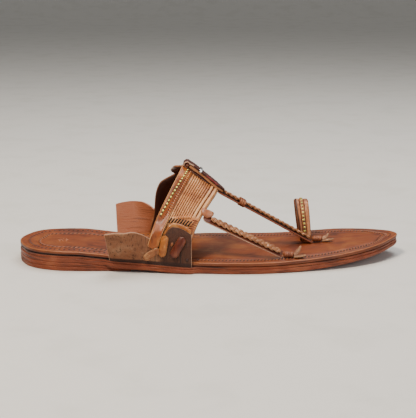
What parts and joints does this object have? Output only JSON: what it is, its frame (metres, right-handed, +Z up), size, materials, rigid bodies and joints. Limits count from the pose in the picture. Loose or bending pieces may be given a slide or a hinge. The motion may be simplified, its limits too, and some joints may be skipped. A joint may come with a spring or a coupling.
{
  "type": "kolhapuri sandal",
  "caption": "Right-foot flat leather sandal with a toe loop, braided straps, a ridged instep band and leaf-shaped side ears on a layered sole.",
  "frame": {"origin": "centre of the flat patch that the heel stands on, on the floor plane", "axes": "+X towards the toe, +Y towards the wearer's left (the medial side of this right sandal), +Z up"},
  "size_m": [0.2825, 0.1061, 0.0746],
  "materials": {
    "leather_sole": "vegetable-tanned chestnut brown sole leather, burnished edges",
    "leather_band": "golden tan strap leather, soft sheen",
    "leather_ear": "greyish brown flesh-side leather, matt",
    "leather_braid": "pinkish tan plaited thong, matt",
    "clip_metal": "silver-coloured clip, bright"
  },
  "bodies": {
    "root": {"insole": "leather_sole", "midsole": "leather_sole", "outsole": "leather_sole", "heel_lift_upper": "leather_sole", "heel_lift_lower": "leather_sole", "ear_lateral": "leather_ear", "ear_medial": "leather_ear", "upper": "leather_band", "centre_braid": "leather_braid", "lateral_braid": "leather_braid", "centre_collar": "leather_braid", "centre_keeper": "leather_braid", "lateral_keeper": "leather_braid", "centre_tip_forward": "leather_braid", "centre_tip_inward": "leather_braid", "lateral_tip_forward": "leather_braid", "lateral_tip_inward": "leather_braid", "crest_clip": "clip_metal", "toe_loop": "leather_band", "thong_upright_lateral": "leather_band", "thong_slanted_lateral": "leather_band", "thong_wedge_lateral": "leather_band", "thong_upright_medial": "leather_band", "thong_slanted_medial": "leather_band", "thong_wedge_medial": "leather_band"}
  },
  "joints": []
}
